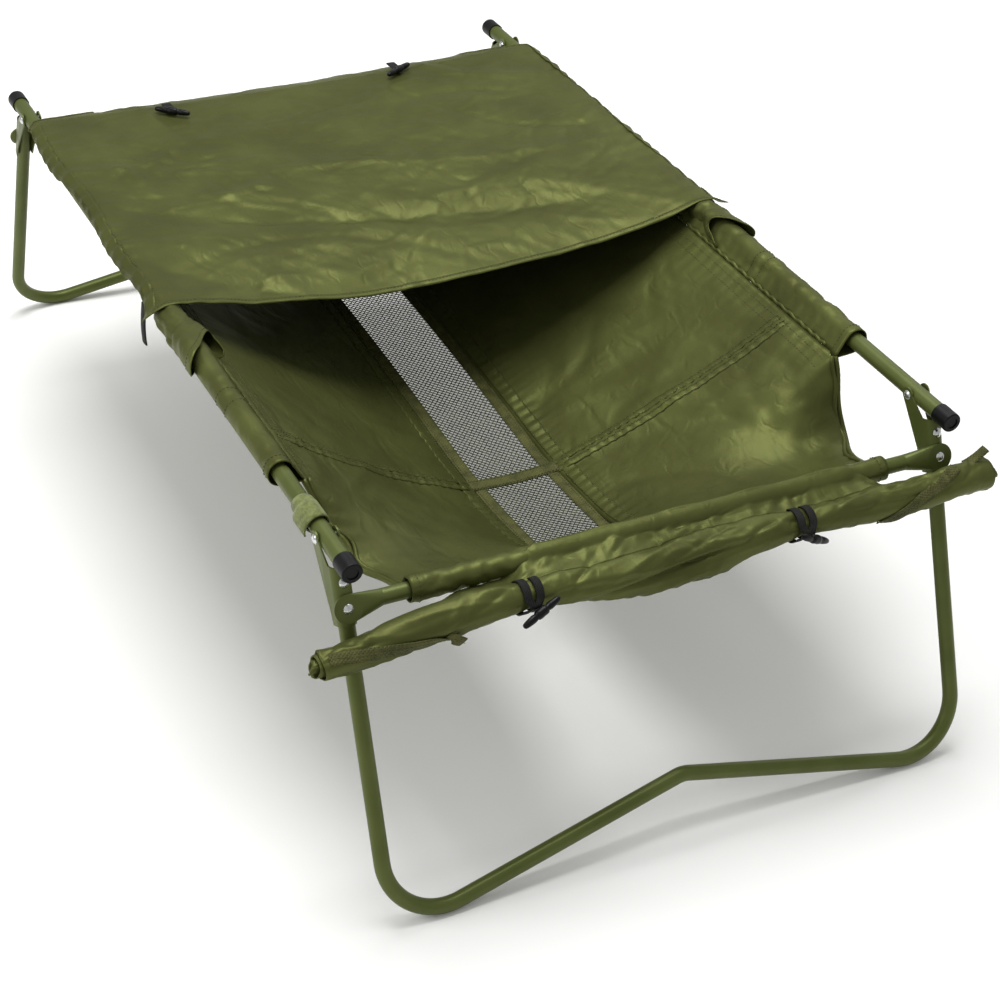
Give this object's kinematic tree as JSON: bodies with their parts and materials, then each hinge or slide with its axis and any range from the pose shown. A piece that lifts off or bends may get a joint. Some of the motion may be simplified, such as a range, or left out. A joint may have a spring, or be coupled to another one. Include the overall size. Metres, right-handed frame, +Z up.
{
  "type": "folding cradle cot",
  "caption": "Long fabric tub slung between two side rails on folding U legs, with a mesh strip in its floor, a half cover over one end and a second cover rolled up at the other.",
  "frame": {"origin": "on the floor under the middle of the cot", "axes": "+Y along the cot, from the end with the rolled cover to the end with the open cover; +X across it to the right as seen from the rolled cover's end; +Z up"},
  "size_m": [0.7481, 1.2732, 0.3723],
  "materials": {
    "frame_paint": "satin olive powder coat",
    "end_cap_plastic": "black moulded plastic",
    "rivet_steel": "bright zinc plate",
    "coated_cloth": "olive coated nylon with a broad sheen",
    "webbing": "dark green woven tape",
    "mesh_net": "fine knitted net",
    "toggle_plastic": "black moulded plastic",
    "black_elastic": "black woven elastic",
    "strap_cloth": "light green brushed hook and loop strap"
  },
  "bodies": {
    "root": {"rail_left": "frame_paint", "rail_right": "frame_paint", "end_cap_near_left": "end_cap_plastic", "end_cap_near_right": "end_cap_plastic", "end_cap_far_left": "end_cap_plastic", "end_cap_far_right": "end_cap_plastic", "pivot_rivets_near": "rivet_steel", "pivot_rivets_far": "rivet_steel", "side_panel_left": "coated_cloth", "side_panel_right": "coated_cloth", "mesh_panel": "mesh_net", "mesh_tape_left": "webbing", "mesh_tape_right": "webbing", "tub_end_near": "coated_cloth", "tub_end_far": "coated_cloth", "cross_webbing_near": "webbing", "cross_webbing_far": "webbing", "rail_sleeve_left": "coated_cloth", "rail_sleeve_right": "coated_cloth", "cover_far": "coated_cloth", "cover_cuff_left": "coated_cloth", "cover_cuff_right": "coated_cloth", "toggle_far_left": "toggle_plastic", "toggle_far_right": "toggle_plastic", "toggle_straps_far": "black_elastic", "hook_strap": "strap_cloth", "side_tab": "black_elastic"},
    "near_leg": {"leg_near": "frame_paint", "bracket_near_left": "frame_paint", "bracket_near_right": "frame_paint", "crossbar_near": "frame_paint", "bracket_rivets_near": "rivet_steel", "crossbar_rivets_near": "rivet_steel", "crossbar_sleeve_near": "coated_cloth", "rolled_cover": "coated_cloth", "elastic_loops_near": "black_elastic", "toggle_near_left": "toggle_plastic", "toggle_near_right": "toggle_plastic"},
    "far_leg": {"leg_far": "frame_paint", "bracket_far_left": "frame_paint", "bracket_far_right": "frame_paint", "crossbar_far": "frame_paint", "bracket_rivets_far": "rivet_steel", "crossbar_rivets_far": "rivet_steel", "crossbar_sleeve_far": "coated_cloth"}
  },
  "joints": [
    {"name": "near_leg_fold", "type": "hinge", "parent": "root", "child": "near_leg", "pos_m": [0, -0.47, 0.352], "axis": [1, 0, 0], "range_deg": [0, 111.5], "deforming": ["side_panel_left", "side_panel_right", "mesh_panel", "mesh_tape_left", "mesh_tape_right", "tub_end_near", "cross_webbing_near", "cross_webbing_far", "hook_strap"]},
    {"name": "far_leg_fold", "type": "hinge", "parent": "root", "child": "far_leg", "pos_m": [0, 0.47, 0.352], "axis": [-1, 0, 0], "range_deg": [0, 111.5], "deforming": ["tub_end_far", "cover_far"]}
  ]
}
